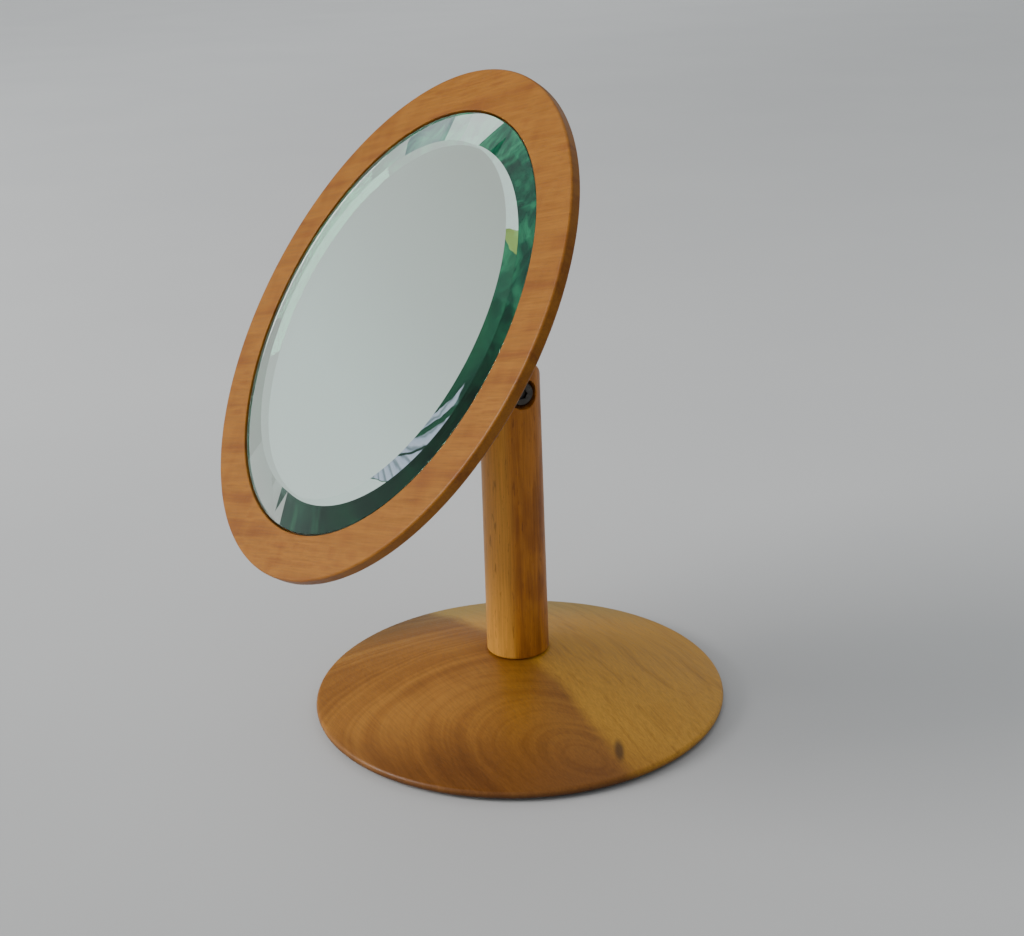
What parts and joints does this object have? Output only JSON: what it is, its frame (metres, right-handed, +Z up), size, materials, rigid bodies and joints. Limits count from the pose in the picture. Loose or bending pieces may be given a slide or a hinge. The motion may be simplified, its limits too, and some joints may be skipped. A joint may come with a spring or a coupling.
{
  "type": "tilting table mirror",
  "caption": "Round bevelled table mirror in a thin turned wooden frame, tilting on a bolt through the forked top of a turned post on a round base.",
  "frame": {"origin": "on the table under the middle of the round base, at the felt's underside", "axes": "+Z up along the post, +X along the tilt bolt towards its head, -Y the way the glass looks"},
  "size_m": [0.2422, 0.2313, 0.3025],
  "materials": {
    "base_wood": "oiled hardwood, satin, turned grain",
    "post_wood": "oiled hardwood, satin, grain along the post",
    "frame_wood": "oiled hardwood, satin",
    "bevelled_glass": "polished, faint green tint",
    "silvering": "silvered back of the glass",
    "mastic": "matte adhesive",
    "bright_steel": "bright steel, slightly dulled",
    "hidden_steel": "zinc-plated wood screw",
    "fibre": "matte fibre washer",
    "felt": "wool baize"
  },
  "bodies": {
    "stand": {"base_disc": "base_wood", "base_felt": "felt", "base_screw": "hidden_steel", "post": "post_wood", "pivot_bolt": "bright_steel", "head_washer": "bright_steel", "nut_washer": "bright_steel", "disc_spring": "bright_steel", "pivot_nut": "bright_steel"},
    "head": {"head_stem": "post_wood", "stem_screw": "hidden_steel", "mirror_frame": "frame_wood", "mirror_glass": "bevelled_glass", "mirror_silvering": "silvering", "adhesive_pad_1": "mastic", "adhesive_pad_2": "mastic", "adhesive_pad_3": "mastic", "adhesive_pad_4": "mastic", "friction_washer_left": "fibre", "friction_washer_right": "fibre"}
  },
  "joints": [
    {"name": "head_tilt", "type": "hinge", "parent": "stand", "child": "head", "pos_m": [0, 0, 0.1594], "axis": [1, 0, 0], "range_deg": [-56, 45]}
  ]
}
